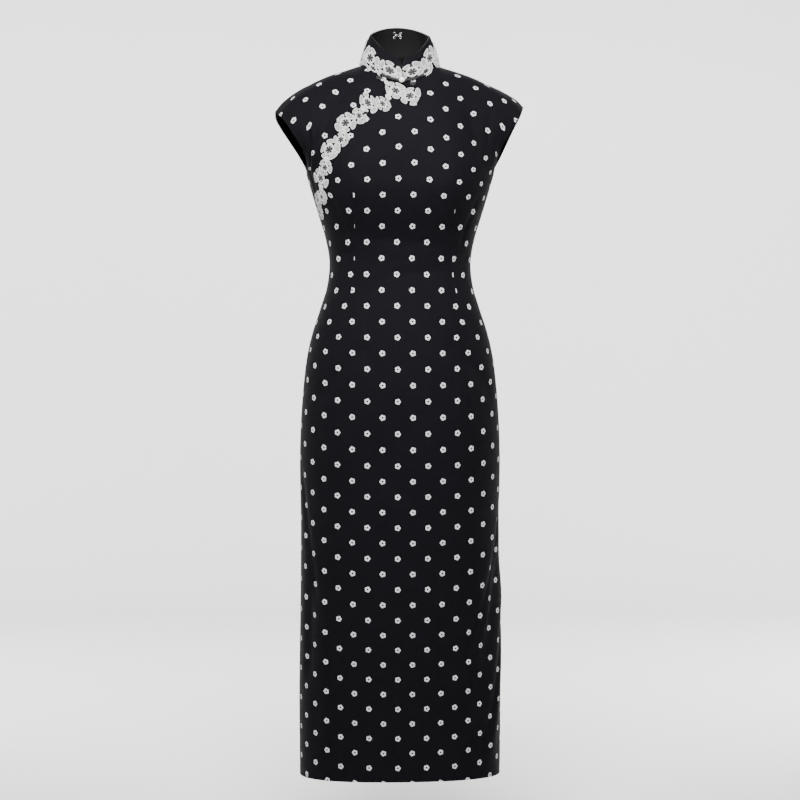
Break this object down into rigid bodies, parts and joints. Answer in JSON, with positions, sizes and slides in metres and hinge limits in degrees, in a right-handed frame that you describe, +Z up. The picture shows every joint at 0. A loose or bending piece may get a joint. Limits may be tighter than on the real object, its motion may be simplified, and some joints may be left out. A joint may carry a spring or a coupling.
{
  "type": "cheongsam dress",
  "caption": "Long cheongsam in worn, hollow form with cap sleeves, stand collar, slanted front opening trimmed with flower lace, knotted cord closure and concealed back zip.",
  "frame": {"origin": "middle line of the body, level with the side points of the neck seam, where the wearer's neck and shoulders hold the dress", "axes": "+Z up along the body, -Y out of the front, +X towards the wearer's left side"},
  "size_m": [0.424, 0.2337, 1.274],
  "materials": {
    "sateen": "dark charcoal cotton sateen with small off-white flower rings",
    "lining": "plain warm dark grey lining",
    "lace": "white corded flower lace",
    "cord": "black twisted cord",
    "pearl": "pearly white",
    "metal": "nickel"
  },
  "bodies": {
    "garment": {"front_main": "sateen", "front_yoke": "sateen", "back_left": "sateen", "back_right": "sateen", "collar_left": "sateen", "collar_right": "sateen", "collar_lining_left": "lining", "collar_lining_right": "lining", "armhole_facing_front_left": "lining", "armhole_facing_front_right": "lining", "armhole_facing_back_left": "lining", "armhole_facing_back_right": "lining", "lace_collar_left": "lace", "lace_collar_right": "lace", "lace_slant": "lace", "neck_cord_left": "cord", "neck_cord_right": "cord", "frog_knot_left": "cord", "frog_knot_right": "cord", "pearl_button": "pearl", "collar_hook": "metal", "collar_eye": "metal", "zip_slider": "metal"},
    "pull_tab": {"zip_pull_tab": "metal"}
  },
  "joints": [
    {"name": "pull_tab_swing", "type": "hinge", "parent": "garment", "child": "pull_tab", "pos_m": [0, 0.0719, 0.0144], "axis": [1, 0, 0], "range_deg": [0, 110]}
  ]
}
